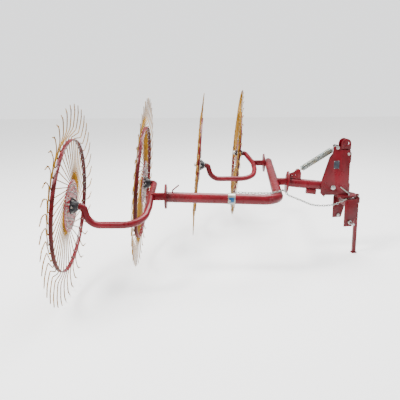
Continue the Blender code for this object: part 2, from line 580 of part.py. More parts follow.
def smooth(points, per):
    """Curve through the points, per steps a span."""
    p = [Vector(q) for q in points]
    p = [2 * p[0] - p[1]] + p + [2 * p[-1] - p[-2]]
    out = []
    for i in range(1, len(p) - 2):
        for k in range(per):
            t = k / per
            out.append(0.5 * ((2 * p[i]) + (p[i + 1] - p[i - 1]) * t + (2 * p[i - 1] - 5 * p[i] + 4 * p[i + 1] - p[i + 2]) * t * t
                              + (3 * p[i] - p[i - 1] - 3 * p[i + 1] + p[i + 2]) * t ** 3))
    out.append(p[-2])
    return out


finish(pipe(smooth(chain_way, 3), 0.0055, 1), "lift_chain", "zinc", boom)

# the middle of the box stands on the origin
root.location.x += CENTRE_X
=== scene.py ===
"""Looks of the mounted wheel hay rake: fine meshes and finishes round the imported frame."""
import json
import math
import random

import bmesh
import bpy
from mathutils import Matrix, Vector, noise


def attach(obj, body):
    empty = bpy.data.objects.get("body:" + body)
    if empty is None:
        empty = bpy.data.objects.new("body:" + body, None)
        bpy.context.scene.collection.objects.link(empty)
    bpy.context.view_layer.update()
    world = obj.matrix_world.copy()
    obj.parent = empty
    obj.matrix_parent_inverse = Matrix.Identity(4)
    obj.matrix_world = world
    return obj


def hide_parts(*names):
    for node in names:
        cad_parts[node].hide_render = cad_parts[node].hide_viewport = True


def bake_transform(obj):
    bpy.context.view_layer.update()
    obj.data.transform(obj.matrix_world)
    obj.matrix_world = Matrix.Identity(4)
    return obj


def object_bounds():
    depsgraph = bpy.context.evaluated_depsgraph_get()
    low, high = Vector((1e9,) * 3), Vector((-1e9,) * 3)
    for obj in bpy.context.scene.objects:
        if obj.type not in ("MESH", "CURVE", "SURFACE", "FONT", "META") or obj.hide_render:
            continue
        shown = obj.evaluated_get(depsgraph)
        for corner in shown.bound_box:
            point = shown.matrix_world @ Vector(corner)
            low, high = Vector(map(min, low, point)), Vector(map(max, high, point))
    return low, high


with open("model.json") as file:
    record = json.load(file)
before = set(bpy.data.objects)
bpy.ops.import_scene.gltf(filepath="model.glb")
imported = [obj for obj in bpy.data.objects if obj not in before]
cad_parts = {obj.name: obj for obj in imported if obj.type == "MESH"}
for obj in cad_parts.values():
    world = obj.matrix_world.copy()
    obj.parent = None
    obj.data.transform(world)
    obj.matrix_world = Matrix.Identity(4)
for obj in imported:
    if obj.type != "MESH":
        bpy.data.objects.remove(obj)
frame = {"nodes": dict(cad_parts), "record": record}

cad_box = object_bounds()
rng = random.Random(7)

# ------------------------------------------------------------------ places, as in the frame
LEAN = math.radians(4.9)
LEANED = Matrix.Rotation(LEAN, 4, "Y")
AXIS = LEANED.to_3x3() @ Vector((1, 0, 0))
joint = {j["name"]: j for j in frame["record"]["behaviour"]["joints"]}
MOVE = Vector((-0.0043, 0, 0))          # places below are written before the rake is centred
WHEELS = {n: Vector(joint["wheel_%d_spin" % n]["pos_m"]) - MOVE for n in (1, 2, 3, 4)}
PAIR = WHEELS[2] - WHEELS[1]
LIFT = Vector(joint["boom_lift"]["pos_m"]) - MOVE
POST = Vector(joint["swivel"]["pos_m"]) - MOVE; POST.z = 0
BOOM_Y = LIFT.y
SHAFT_DY = 0.389
SHAFTS = {"near": (0.525, 0.668), "far": (0.572, 0.648)}       # joint of a rocker: x from its first wheel, z
TUBE_R = 0.040
TUBE_Z0, TUBE_Z1, TUBE_Z2 = 0.663, 0.636, 0.642
TUBE_X0, TUBE_X1 = -0.4691, 0.3913
NEAR_Y, FAR_Y = WHEELS[1].y + SHAFT_DY, WHEELS[3].y + SHAFT_DY
BOOM_SLOPE = math.radians(6.1)
RUN = Vector((math.cos(BOOM_SLOPE), 0, -math.sin(BOOM_SLOPE)))
HITCH = Matrix.Translation(POST) @ Matrix.Rotation(math.radians(10.0), 4, "Z")
TURNED = Matrix.Rotation(math.radians(10.0), 4, "Z")


def tube_z(x):
    return TUBE_Z0 + (TUBE_Z1 - TUBE_Z0) * (x - TUBE_X0) / (TUBE_X1 - TUBE_X0)


# ------------------------------------------------------------------ camera
def fitted_camera():
    yaw, pitch, roll, f = -0.015925, 0.239146, -0.008124, 530.0
    fw = Vector((math.sin(yaw) * math.cos(pitch), math.cos(yaw) * math.cos(pitch), -math.sin(pitch)))
    rt = Vector((math.cos(yaw), -math.sin(yaw), 0))
    up = rt.cross(fw)
    rt, up = rt * math.cos(roll) + up * math.sin(roll), up * math.cos(roll) - rt * math.sin(roll)
    cam = bpy.data.cameras.new("camera")
    cam.sensor_width = 36.0
    cam.sensor_fit = "HORIZONTAL"
    cam.lens = f / 400 * 36.0
    ob = bpy.data.objects.new("camera", cam)
    bpy.context.scene.collection.objects.link(ob)
    m = Matrix.Identity(4)
    for i in range(3):
        m[i][0], m[i][1], m[i][2] = rt[i], up[i], -fw[i]
    m.translation = Vector((-0.1517, -4.76, 1.6021)) + MOVE
    ob.matrix_world = m
    bpy.context.scene.camera = ob


fitted_camera()


# ------------------------------------------------------------------ materials
def graph(name):
    m = bpy.data.materials.new(name)
    m.use_nodes = True
    nt = m.node_tree
    b = nt.nodes["Principled BSDF"]
    geo = nt.nodes.new("ShaderNodeTexCoord")
    return m, nt, b, geo.outputs["Object"]


def noise_at(nt, coord, scale, detail=4.0, rough=0.6, stretch=None, seed=0.0):
    n = nt.nodes.new("ShaderNodeTexNoise")
    n.inputs["Scale"].default_value = scale
    n.inputs["Detail"].default_value = detail
    n.inputs["Roughness"].default_value = rough
    if stretch or seed:
        mp = nt.nodes.new("ShaderNodeMapping")
        mp.inputs["Scale"].default_value = stretch or (1, 1, 1)
        mp.inputs["Location"].default_value = (seed, seed * 1.7, seed * 0.6)
        nt.links.new(coord, mp.inputs["Vector"])
        coord = mp.outputs["Vector"]
    nt.links.new(coord, n.inputs["Vector"])
    return n.outputs["Fac"]


def ramp(nt, fac, stops):
    r = nt.nodes.new("ShaderNodeValToRGB")
    els = r.color_ramp.elements
    while len(els) < len(stops):
        els.new(0.5)
    for e, (p, c) in zip(els, stops):
        e.position = p
        e.color = (*c, 1) if len(c) == 3 else c
    nt.links.new(fac, r.inputs["Fac"])
    return r.outputs["Color"]


def mix(nt, fac, a, b, kind="MIX"):
    m = nt.nodes.new("ShaderNodeMix")
    m.data_type = "RGBA"
    m.blend_type = kind
    if hasattr(fac, "is_linked"):
        nt.links.new(fac, m.inputs["Factor"])
    else:
        m.inputs["Factor"].default_value = fac
    for s, v in (("A", a), ("B", b)):
        sock = [i for i in m.inputs if i.name == s and i.type == "RGBA"][0]
        if hasattr(v, "is_linked"):
            nt.links.new(v, sock)
        else:
            sock.default_value = (*v, 1)
    return [o for o in m.outputs if o.type == "RGBA"][0]


def maths(nt, op, a, b=0.0, clamp=False):
    m = nt.nodes.new("ShaderNodeMath")
    m.operation = op
    m.use_clamp = clamp
    for i, v in enumerate((a, b)):
        if hasattr(v, "is_linked"):
            nt.links.new(v, m.inputs[i])
        else:
            m.inputs[i].default_value = v
    return m.outputs[0]


def bump(nt, bsdf, height, strength, dist):
    b = nt.nodes.new("ShaderNodeBump")
    b.inputs["Strength"].default_value = strength
    b.inputs["Distance"].default_value = dist
    nt.links.new(height, b.inputs["Height"])
    nt.links.new(b.outputs["Normal"], bsdf.inputs["Normal"])


def upward(nt):
    g = nt.nodes.new("ShaderNodeNewGeometry")
    s = nt.nodes.new("ShaderNodeSeparateXYZ")
    nt.links.new(g.outputs["Normal"], s.inputs[0])
    return s.outputs["Z"], g.outputs["Pointiness"]


def red_paint(name="red_paint", dark=(0.085, 0.0005, 0.0040), mid=(0.150, 0.0009, 0.0070), light=(0.235, 0.0028, 0.0140), top_light_amount=0.10):
    m, nt, b, co = graph(name)
    big = noise_at(nt, co, 5.0, 5.0, 0.62)
    col = ramp(nt, big, [(0.30, dark), (0.50, mid), (0.72, light)])
    fine = noise_at(nt, co, 85.0, 3.0, 0.7, seed=2.0)
    col = mix(nt, ramp(nt, fine, [(0.35, (0, 0, 0)), (0.75, (0.35, 0.35, 0.35))]), col, (0.10, 0.0008, 0.004))
    up, point = upward(nt)
    # painted top light: upward faces mixed toward the pink of lit paint, in patches
    painted_top_light = maths(nt, "MULTIPLY", maths(nt, "MAXIMUM", up, 0.0), top_light_amount)
    painted_top_light = maths(nt, "MULTIPLY", painted_top_light, ramp(nt, noise_at(nt, co, 22.0, 5.0, 0.7, seed=5.0), [(0.35, (0.2, 0.2, 0.2)), (0.7, (1, 1, 1))]))
    col = mix(nt, painted_top_light, col, (0.80, 0.12, 0.17))
    worn = maths(nt, "MULTIPLY", ramp(nt, point, [(0.53, (0, 0, 0)), (0.60, (1, 1, 1))]), ramp(nt, noise_at(nt, co, 120.0, 4.0, 0.7, seed=9.0), [(0.48, (0, 0, 0)), (0.62, (0.7, 0.7, 0.7))]))
    col = mix(nt, worn, col, (0.16, 0.05, 0.045))
    nt.links.new(col, b.inputs["Base Color"])
    nt.links.new(ramp(nt, noise_at(nt, co, 14.0, 4.0, 0.6, seed=4.0), [(0.3, (0.24, 0.24, 0.24)), (0.75, (0.42, 0.42, 0.42))]), b.inputs["Roughness"])
    b.inputs["Coat Weight"].default_value = 0.10
    b.inputs["Coat Roughness"].default_value = 0.14
    b.inputs["Specular IOR Level"].default_value = 0.34
    bump(nt, b, noise_at(nt, co, 240.0, 2.0, 0.5, seed=1.0), 0.16, 0.0008)
    return m


def tine_paint():
    m, nt, b, co = graph("tine_paint")
    col = ramp(nt, noise_at(nt, co, 16.0, 4.0, 0.6), [(0.28, (0.13, 0.052, 0.0006)), (0.5, (0.30, 0.135, 0.0010)), (0.74, (0.46, 0.23, 0.003))])
    spots = ramp(nt, noise_at(nt, co, 90.0, 4.0, 0.7, seed=3.0), [(0.56, (0, 0, 0)), (0.66, (0.7, 0.7, 0.7))])
    col = mix(nt, spots, col, (0.07, 0.028, 0.003))
    up, point = upward(nt)
    # painted top light: upward faces mixed toward a lighter yellow
    col = mix(nt, maths(nt, "MULTIPLY", maths(nt, "MAXIMUM", up, 0.0), 0.10), col, (0.85, 0.55, 0.16))
    nt.links.new(col, b.inputs["Base Color"])
    nt.links.new(ramp(nt, noise_at(nt, co, 40.0, 3.0, 0.6, seed=6.0), [(0.3, (0.30, 0.30, 0.30)), (0.7, (0.48, 0.48, 0.48))]), b.inputs["Roughness"])
    b.inputs["Specular IOR Level"].default_value = 0.22
    bump(nt, b, noise_at(nt, co, 400.0, 2.0, 0.5), 0.2, 0.0005)
    return m


def zinc(name="zinc", tint=(0.42, 0.45, 0.45), warm=(0.42, 0.36, 0.20), rough=(0.26, 0.44)):
    m, nt, b, co = graph(name)
    v = nt.nodes.new("ShaderNodeTexVoronoi")
    v.inputs["Scale"].default_value = 130.0
    nt.links.new(co, v.inputs["Vector"])
    col = mix(nt, ramp(nt, noise_at(nt, co, 26.0, 4.0, 0.6), [(0.38, (0, 0, 0)), (0.72, (0.75, 0.75, 0.75))]), tint, warm)
    col = mix(nt, ramp(nt, v.outputs["Distance"], [(0.1, (0, 0, 0)), (0.7, (0.3, 0.3, 0.3))]), col, (0.30, 0.31, 0.32))
    nt.links.new(col, b.inputs["Base Color"])
    b.inputs["Metallic"].default_value = 0.92
    nt.links.new(ramp(nt, noise_at(nt, co, 60.0, 3.0, 0.6, seed=2.0), [(0.3, (rough[0],) * 3), (0.7, (rough[1],) * 3)]), b.inputs["Roughness"])
    bump(nt, b, noise_at(nt, co, 300.0, 3.0, 0.6, seed=8.0), 0.18, 0.0005)
    return m


def black_finish(name="black_finish", base=(0.014, 0.014, 0.017)):
    m, nt, b, co = graph(name)
    col = ramp(nt, noise_at(nt, co, 30.0, 5.0, 0.65), [(0.3, base), (0.6, (0.030, 0.030, 0.036)), (0.8, (0.075, 0.068, 0.062))])
    nt.links.new(col, b.inputs["Base Color"])
    nt.links.new(ramp(nt, noise_at(nt, co, 70.0, 3.0, 0.6, seed=3.0), [(0.3, (0.36, 0.36, 0.36)), (0.7, (0.58, 0.58, 0.58))]), b.inputs["Roughness"])
    bump(nt, b, noise_at(nt, co, 220.0, 3.0, 0.6), 0.25, 0.0006)
    return m


def sticker(name, a, c, lift=0.0):
    m, nt, b, co = graph(name)
    col = ramp(nt, noise_at(nt, co, 18.0, 3.0, 0.5), [(0.3, a), (0.7, c)])
    nt.links.new(col, b.inputs["Base Color"])
    nt.links.new(ramp(nt, noise_at(nt, co, 50.0, 3.0, 0.6), [(0.3, (0.28, 0.28, 0.28)), (0.7, (0.42, 0.42, 0.42))]), b.inputs["Roughness"])
    bump(nt, b, noise_at(nt, co, 150.0, 2.0, 0.5), 0.1, 0.0004)
    return m


RED = red_paint()
RED_DISC = red_paint("red_disc", (0.25, 0.004, 0.012), (0.38, 0.012, 0.026), (0.55, 0.045, 0.065), 0.15)
# darker copy of the red paint for the hoops: painted shade, with more painted top light
RED_HOOP_SHADED = red_paint("red_hoop_shaded", (0.035, 0.0008, 0.001), (0.080, 0.0015, 0.0025), (0.17, 0.006, 0.009), 0.22)
TINE = tine_paint()
ZINC = zinc()
SPRING = zinc("spring_zinc", (0.26, 0.32, 0.33), (0.36, 0.28, 0.11), (0.26, 0.42))
BOLT = zinc("bolt_zinc", (0.60, 0.61, 0.61), (0.55, 0.48, 0.32), (0.20, 0.36))
BLACK = black_finish()
LABEL = sticker("dark_plate", (0.012, 0.014, 0.022), (0.05, 0.055, 0.075))
BLUE = sticker("blue_label", (0.03, 0.16, 0.42), (0.08, 0.30, 0.60))


# ------------------------------------------------------------------ shapes
def obj_from(bm, name, mat, smooth=True, sharp=40.0):
    me = bpy.data.meshes.new(name)
    bmesh.ops.translate(bm, verts=bm.verts, vec=MOVE)
    bmesh.ops.recalc_face_normals(bm, faces=bm.faces)
    bm.to_mesh(me)
    bm.free()
    ob = bpy.data.objects.new(name, me)
    bpy.context.scene.collection.objects.link(ob)
    me.materials.append(mat)
    if smooth:
        me.shade_smooth()
        me.set_sharp_from_angle(angle=math.radians(sharp))
    return ob


def sweep(bm, pts, r, sides=16, caps=True, start_side=None, closed=False, flat=None):
    """Round bar along a path; r is a number or one for each point. flat is not used."""
    pts = [Vector(p) for p in pts]
    n = len(pts)
    rad = r if isinstance(r, (list, tuple)) else [r] * n
    dirs = []
    for i in range(n):
        a = pts[(i - 1) % n] if closed or i > 0 else pts[i]
        b = pts[(i + 1) % n] if closed or i < n - 1 else pts[i]
        dirs.append((b - a).normalized())
    side = Vector(start_side) if start_side is not None else dirs[0].orthogonal()
    side = (side - dirs[0] * side.dot(dirs[0])).normalized()
    rings = []
    for i in range(n):
        if i:
            q = dirs[i - 1].rotation_difference(dirs[i])
            side = (q @ side)
            side = (side - dirs[i] * side.dot(dirs[i])).normalized()
        up = dirs[i].cross(side)
        ring = []
        for k in range(sides):
            a = math.tau * k / sides
            ring.append(bm.verts.new(pts[i] + (side * math.cos(a) + up * math.sin(a)) * rad[i]))
        rings.append(ring)
    m = n if closed else n - 1
    for i in range(m):
        a, b = rings[i], rings[(i + 1) % n]
        for k in range(sides):
            bm.faces.new((a[k], a[(k + 1) % sides], b[(k + 1) % sides], b[k]))
    if caps and not closed:
        bm.faces.new(rings[0][::-1])
        bm.faces.new(rings[-1])
    return rings


def lathe(bm, profile, matrix, seg=48):
    """Turned body about local Z; profile is (radius, height), closed when it ends where it starts."""
    rings = []
    for r, h in profile:
        if r < 1e-7:
            rings.append([bm.verts.new(matrix @ Vector((0, 0, h)))])
        else:
            rings.append([bm.verts.new(matrix @ Vector((r * math.cos(math.tau * k / seg), r * math.sin(math.tau * k / seg), h))) for k in range(seg)])
    closed = (Vector(profile[0]) - Vector(profile[-1])).length < 1e-7
    if closed:
        for v in rings[-1]:
            bm.verts.remove(v)
        rings[-1] = rings[0]
    for a, b in zip(rings, rings[1:]):
        for k in range(seg):
            k2 = (k + 1) % seg
            if len(a) == 1 and len(b) == 1:
                continue
            if len(a) == 1:
                bm.faces.new((a[0], b[k2], b[k]))
            elif len(b) == 1:
                bm.faces.new((a[k], a[k2], b[0]))
            else:
                bm.faces.new((a[k], a[k2], b[k2], b[k]))


def soften(profile, w=0.0012):
    """Profile with each corner cut by two small steps."""
    out = []
    n = len(profile)
    closed = (Vector(profile[0]) - Vector(profile[-1])).length < 1e-7
    pts = [Vector(p) for p in profile]
    for i, p in enumerate(pts):
        if not closed and i in (0, n - 1):
            out.append(tuple(p))
            continue
        if closed and i == n - 1:
            break
        a = pts[i - 1] if i else pts[n - 2]
        b = pts[i + 1]
        da, db = (a - p), (b - p)
        wa, wb = min(w, da.length * 0.4), min(w, db.length * 0.4)
        pa, pb = p + da.normalized() * wa, p + db.normalized() * wb
        mid = (pa + pb) / 2 * 0.55 + p * 0.45
        out += [tuple(pa), tuple(mid), tuple(pb)]
    if closed:
        out.append(out[0])
    return out


def frame_on(place, axis, spin=0.0):
    return (Matrix.Translation(Vector(place)) @ Vector(axis).to_track_quat("Z", "Y").to_matrix().to_4x4()
            @ Matrix.Rotation(spin, 4, "Z"))


def hexagon(bm, place, axis, across, height, spin=0.0, dome=0.35):
    """Hexagon head or nut with a chamfered top, standing on place."""
    m = frame_on(place, axis, spin)
    r = across / math.sqrt(3)
    rows = [(r, 0.0), (r, height * 0.80), (r * 0.93, height * 0.93), (r * 0.84, height)]
    rings = [[bm.verts.new(m @ Vector((q * math.cos(math.tau * k / 6), q * math.sin(math.tau * k / 6), h))) for k in range(6)] for q, h in rows]
    for a, b in zip(rings, rings[1:]):
        for k in range(6):
            bm.faces.new((a[k], a[(k + 1) % 6], b[(k + 1) % 6], b[k]))
    bm.faces.new(rings[0][::-1])
    bm.faces.new(rings[-1])


def bolt(bm, place, axis, d, proud=0.6, washer=True, spin=0.0):
    """Hexagon nut on a washer with the stud end standing out."""
    p, a = Vector(place), Vector(axis).normalized()
    if washer:
        lathe(bm, [(0, d * 0.18), (d * 1.0, d * 0.18), (d * 1.05, d * 0.12), (d * 1.05, 0), (0, 0)], frame_on(p, a), 20)
        p = p + a * d * 0.18
    hexagon(bm, p, a, d * 1.62, d * 0.72, spin)
    if proud > 0:
        lathe(bm, [(0, d * (0.72 + proud)), (d * 0.40, d * (0.72 + proud)), (d * 0.48, d * (0.62 + proud)), (d * 0.48, d * 0.5), (0, d * 0.5)], frame_on(p, a), 14)


def weld(bm, pts, r=0.003, closed=True, seed=0):
    """Bead with ripples along a path."""
    pts = [Vector(p) for p in pts]
    out, rad = [], []
    n = len(pts)
    total = sum((pts[(i + 1) % n] - pts[i]).length for i in range(n if closed else n - 1))
    count = max(12, int(total / 0.0035))
    seg = []
    for i in range(n if closed else n - 1):
        seg.append((pts[i], pts[(i + 1) % n]))
    lens = [(b - a).length for a, b in seg]
    for k in range(count if closed else count + 1):
        s = total * k / count
        i = 0
        while i < len(lens) - 1 and s > lens[i]:
            s -= lens[i]
            i += 1
        a, b = seg[i]
        out.append(a.lerp(b, min(1.0, s / max(lens[i], 1e-9))))
        rad.append(r * (0.86 + 0.22 * (k % 2) + 0.10 * math.sin(k * 1.7 + seed)))
    sweep(bm, out, rad, 7, closed=closed)


def ring_points(centre, axis, r, n=48):
    m = frame_on(centre, axis)
    return [m @ Vector((r * math.cos(math.tau * k / n), r * math.sin(math.tau * k / n), 0)) for k in range(n)]


def rounded(points, radii, steps=10):
    pts = [Vector(p) for p in points]
    out = [pts[0]]
    for i in range(1, len(pts) - 1):
        a = (pts[i - 1] - pts[i]).normalized()
        b = (pts[i + 1] - pts[i]).normalized()
        r = radii[i]
        ang = a.angle(b)
        if r <= 0 or ang > math.pi - 1e-4:
            out.append(pts[i])
            continue
        t = r / math.tan(ang / 2)
        centre = pts[i] + (a + b).normalized() * (r / math.sin(ang / 2))
        s, e = pts[i] + a * t - centre, pts[i] + b * t - centre
        sw = s.angle(e)
        for k in range(steps + 1):
            f = k / steps
            out.append(centre + (s * math.sin((1 - f) * sw) + e * math.sin(f * sw)) / math.sin(sw))
    out.append(pts[-1])
    return out


def put(ob, body, *nodes, slot=None):
    if nodes:
        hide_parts(*nodes)
    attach(ob, body)
    return ob


def bevelled(node, body, mat, width=0.0015, slot="red_paint"):
    """The CAD solid with softened edges."""
    src = frame["nodes"][node]
    me = src.data.copy()
    ob = bpy.data.objects.new(node + "_skin", me)
    bpy.context.scene.collection.objects.link(ob)
    ob.matrix_world = src.matrix_world.copy()
    bm = bmesh.new()
    bm.from_mesh(me)
    bmesh.ops.remove_doubles(bm, verts=bm.verts, dist=0.00002)
    bmesh.ops.dissolve_limit(bm, angle_limit=math.radians(1.0), verts=bm.verts, edges=bm.edges)
    bm.to_mesh(me)
    bm.free()
    me.materials.clear()
    me.materials.append(mat)
    b = ob.modifiers.new("Bevel", "BEVEL")
    b.width = width
    b.segments = 2
    b.limit_method = "ANGLE"
    b.angle_limit = math.radians(32)
    b.harden_normals = False
    bpy.context.view_layer.update()
    ev = ob.evaluated_get(bpy.context.evaluated_depsgraph_get())
    new = bpy.data.meshes.new_from_object(ev)
    ob.modifiers.clear()
    ob.data = new
    new.shade_smooth()
    new.set_sharp_from_angle(angle=math.radians(35))
    return put(ob, body, node, slot=slot)


# ------------------------------------------------------------------ finger wheels
WHEEL_R, RING_R, RING_W, RING_T = 0.700, 0.462, 0.028, 0.007
DISC_R, DISC_X, DISC_T = 0.185, 0.008, 0.004
TINES, TINE_R = 40, 0.0035
# way of a tine: radius, angle ahead of the tip in degrees, distance towards the arm, bend radius
TINE_WAY = (
    (0.160, -24.3, 0.0048, 0.0),
    (0.472, 14.0, -0.0160, 0.018),
    (0.538, -4.4, -0.0070, 0.034),
    (0.610, -5.0, -0.0025, 0.25),
    (0.655, -3.4, 0.0008, 0.16),
    (0.6985, -0.1, 0.0036, 0.0),
)


def at_wheel(r, a, x):
    return Vector((x, r * math.cos(a), r * math.sin(a)))


def tine_path(turn):
    pts = [at_wheel(r, turn + math.radians(q), x) for r, q, x, bend in TINE_WAY]
    return rounded(pts, [w[3] for w in TINE_WAY], 6)


for n in (1, 2, 3, 4):
    M = Matrix.Translation(WHEELS[n]) @ LEANED
    body = "wheel_%d" % n
    bm = bmesh.new()
    for k in range(TINES):
        turn = -math.pi / 2 + (k + 0.5) * math.tau / TINES
        path = [M @ p for p in tine_path(turn)]
        rad = [TINE_R] * len(path)
        rad[-1] = TINE_R * 0.86
        sweep(bm, path, rad, 8)
    put(obj_from(bm, "tines_%d" % n, TINE), body, "finger_wheel_%d" % n, slot="tine_steel")

    Mz = M @ Matrix.Rotation(math.pi / 2, 4, "Y")
    bm = bmesh.new()
    h = RING_W / 2
    lathe(bm, soften([(RING_R - RING_T, h), (RING_R, h), (RING_R, -h), (RING_R - RING_T, -h), (RING_R - RING_T, h)], 0.002), Mz, 160)
    put(obj_from(bm, "hoop_%d" % n, RED_HOOP_SHADED), body, "finger_wheel_%d" % n, slot="red_paint")
    # U-bolt round each tine where it passes the hoop, with its nuts on the inner side
    bm = bmesh.new()
    nuts = bmesh.new()
    for k in range(TINES):
        turn = -math.pi / 2 + (k + 0.5) * math.tau / TINES
        path = tine_path(turn)
        i = next(q for q in range(1, len(path)) if path[q].yz.length > RING_R - 0.004)
        a, b = path[i - 1], path[i]
        c = a.lerp(b, (RING_R - 0.004 - a.yz.length) / (b.yz.length - a.yz.length))
        d = (b - a).normalized()
        ang = math.atan2(c.z, c.y)
        out = Vector((0, math.cos(ang), math.sin(ang)))
        tan = Vector((0, -math.sin(ang), math.cos(ang)))
        side = tan
        loop = []
        for q in range(9):
            aa = math.radians(-90 + 180 * q / 8)
            loop.append(c + (Vector((-1, 0, 0)) * math.cos(aa) + side * math.sin(aa)) * (TINE_R + 0.0016))
        head = c - side * (TINE_R + 0.0016)
        tail = c + side * (TINE_R + 0.0016)
        arm_a = [head + Vector((0.010, 0, 0)), head + Vector((0.005, 0, 0))]
        arm_b = [tail + Vector((0.005, 0, 0)), tail + Vector((0.010, 0, 0))]
        sweep(bm, [M @ p for p in arm_a + loop + arm_b], 0.0014, 6)
        p = at_wheel(RING_R - RING_T + 0.0002, ang, 0.0)
        bolt(nuts, M @ p, LEANED.to_3x3() @ -out, 0.0046, 0.5, True, k * 0.9)
    put(obj_from(bm, "tine_ties_%d" % n, ZINC), body, "finger_wheel_%d" % n, slot="zinc_steel")
    put(obj_from(nuts, "hoop_nuts_%d" % n, ZINC, sharp=25), body, "finger_wheel_%d" % n, slot="zinc_steel")

    # pressed hub disc: rolled rim, a pressed ring and a dished middle
    bm = bmesh.new()
    prof = [(0.030, 0.0006), (0.060, 0.0006), (0.066, 0.0022), (0.100, 0.0022), (0.108, 0.0004), (0.166, 0.0004), (0.174, 0.0010), (0.1835, 0.0010),
            (0.185, 0.0020), (0.185, 0.0032), (0.1835, 0.0040), (0.172, 0.0036), (0.166, 0.0030), (0.108, 0.0030), (0.100, 0.0040), (0.066, 0.0040),
            (0.060, 0.0034), (0.030, 0.0034), (0.030, 0.0006)]
    lathe(bm, [(r, DISC_X + x) for r, x in prof], Mz, 96)
    put(obj_from(bm, "hub_plate_%d" % n, RED_DISC, sharp=28), body, "finger_wheel_%d" % n, slot="red_paint")
    # bent clips through the disc hold each tine root; their ends and nuts show on the face
    bm = bmesh.new()
    bm2 = bmesh.new()
    face = DISC_X + DISC_T
    for k in range(TINES):
        turn = -math.pi / 2 + (k + 0.5) * math.tau / TINES
        path = tine_path(turn)
        a, d = path[0], (path[1] - path[0])
        d.x = 0
        d.normalize()
        side = Vector((0, -d.z, d.y))
        for far, zig in ((0.012, 1), ):
            c = a + d * far
            c.x = face
            hs = (0.0, 0.0022, 0.0036, 0.0044, 0.0036, 0.0022, 0.0)
            ws = (-0.0075, -0.0062, -0.0036, 0.0, 0.0036, 0.0062, 0.0075)
            line = [M @ (c + side * w + Vector((q, 0, 0)) + d * (w * 0.35)) for w, q in zip(ws, hs)]
            sweep(bm, line, 0.0018, 6)
        q = at_wheel(0.148, math.atan2(a.z, a.y) + 0.02, face)
        bolt(bm2, M @ q, AXIS, 0.0068, 0.5, True, k * 0.7)
        if k % 2 == 0:
            q = at_wheel(0.096 if k % 4 else 0.112, math.atan2(a.z, a.y), face)
            bolt(bm2, M @ q, AXIS, 0.0080, 0.6, True, k * 0.4)
        # root clip on the back
        c = a + d * 0.010
        line = [M @ (c + side * w + Vector((-h_, 0, 0))) for w, h_ in zip((-0.0095, -0.0060, -0.0038, 0.0, 0.0038, 0.0060, 0.0095), (-0.0010, 0.0006, 0.0040, 0.0052, 0.0040, 0.0006, -0.0010))]
        sweep(bm, line, 0.0018, 6)
    put(obj_from(bm, "tine_clips_%d" % n, BOLT), body, "finger_wheel_%d" % n, slot="zinc_steel")
    put(obj_from(bm2, "disc_bolts_%d" % n, BOLT, sharp=25), body, "finger_wheel_%d" % n, slot="zinc_steel")

    # bearing hub
    bm = bmesh.new()
    X = DISC_X + DISC_T + 0.0003
    prof = [(0.0165, 0.062), (0.026, 0.062), (0.028, 0.0605), (0.0325, 0.0600), (0.0335, 0.0585), (0.0335, 0.0540), (0.0355, 0.0520), (0.0360, 0.0500),
            (0.0360, 0.0290), (0.0385, 0.0245), (0.0450, 0.0220), (0.0585, 0.0205), (0.0600, 0.0190), (0.0600, X), (0.0290, X), (0.0290, -0.0135),
            (0.0270, -0.0155), (0.0165, -0.0160), (0.0165, 0.062)]
    lathe(bm, prof, Mz, 56)
    for k in range(6):        # ribs of the casting
        a = math.tau * (k + 0.5) / 6
        p0, p1 = at_wheel(0.036, a, 0.046), at_wheel(0.054, a, 0.0205)
        sweep(bm, [M @ p0, M @ p0.lerp(p1, 0.5), M @ p1], [0.0035, 0.0042, 0.0035], 8)
    put(obj_from(bm, "bearing_hub_%d" % n, BLACK, sharp=35), body, "wheel_hub_%d" % n, slot="black_paint")
    bm = bmesh.new()
    for k in range(6):
        a = math.tau * k / 6
        bolt(bm, M @ at_wheel(0.0495, a, 0.0205), AXIS, 0.0085, 0.8, True, k * 0.5)
        bolt(bm, M @ at_wheel(0.0495, a, DISC_X), -AXIS, 0.0085, 0.0, False, k * 0.5)
    lathe(bm, soften([(0.0167, 0.0618), (0.0235, 0.0618), (0.0235, 0.0632), (0.0167, 0.0632), (0.0167, 0.0618)], 0.0003), Mz, 40)
    put(obj_from(bm, "hub_bolts_%d" % n, BOLT, sharp=25), body, "wheel_hub_%d" % n, slot="zinc_steel")

    # axle: collar at the arm, shaft, washer and castle nut at the outer end
    rock = "rocker_near" if n < 3 else "rocker_far"
    bm = bmesh.new()
    lathe(bm, soften([(0, 0.0694), (0.0244, 0.0694), (0.0244, 0.0648), (0.0158, 0.0643), (0.0158, -0.0205), (0.0, -0.0205)], 0.0006), Mz, 40)
    put(obj_from(bm, "axle_shaft_%d" % n, RED, sharp=30), rock, "wheel_axle_%d" % n, slot="red_paint")
    bm = bmesh.new()
    lathe(bm, soften([(0, -0.0215), (0.0258, -0.0215), (0.0258, -0.0245), (0, -0.0245)], 0.0005), Mz, 40)
    hexagon(bm, M @ Vector((-0.0245, 0, 0)), -AXIS, 0.038, 0.013, 0.3)
    lathe(bm, [(0, -0.0436), (0.0085, -0.0432), (0.0100, -0.0420), (0.0100, -0.036), (0, -0.036)], Mz, 28)
    sweep(bm, [M @ Vector((-0.0400, y, 0.0015)) for y in (-0.016, -0.008, 0, 0.008, 0.016)], 0.0016, 8)
    put(obj_from(bm, "axle_nut_%d" % n, BOLT, sharp=25), rock, "wheel_axle_%d" % n, slot="zinc_steel")

# ------------------------------------------------------------------ rockers
AXLE_L = 0.0695


def arm_way(dx, dz):
    return (
        (AXLE_L + 0.0003, 0.0, 0.0, 0.0),
        (0.094, 0.0, -0.0081, 0.026),
        (0.132, 0.0, -0.142, 0.10),
        (0.500 + dx * 0.9, 0.0, -0.142, 0.16),
        (0.530 + dx, 0.22, -0.066 + dz, 0.30),
        (0.525 + dx, 0.389, -0.028 + dz, 0.40),
        (0.5169, 0.778, -0.0083, 0.027),
    )


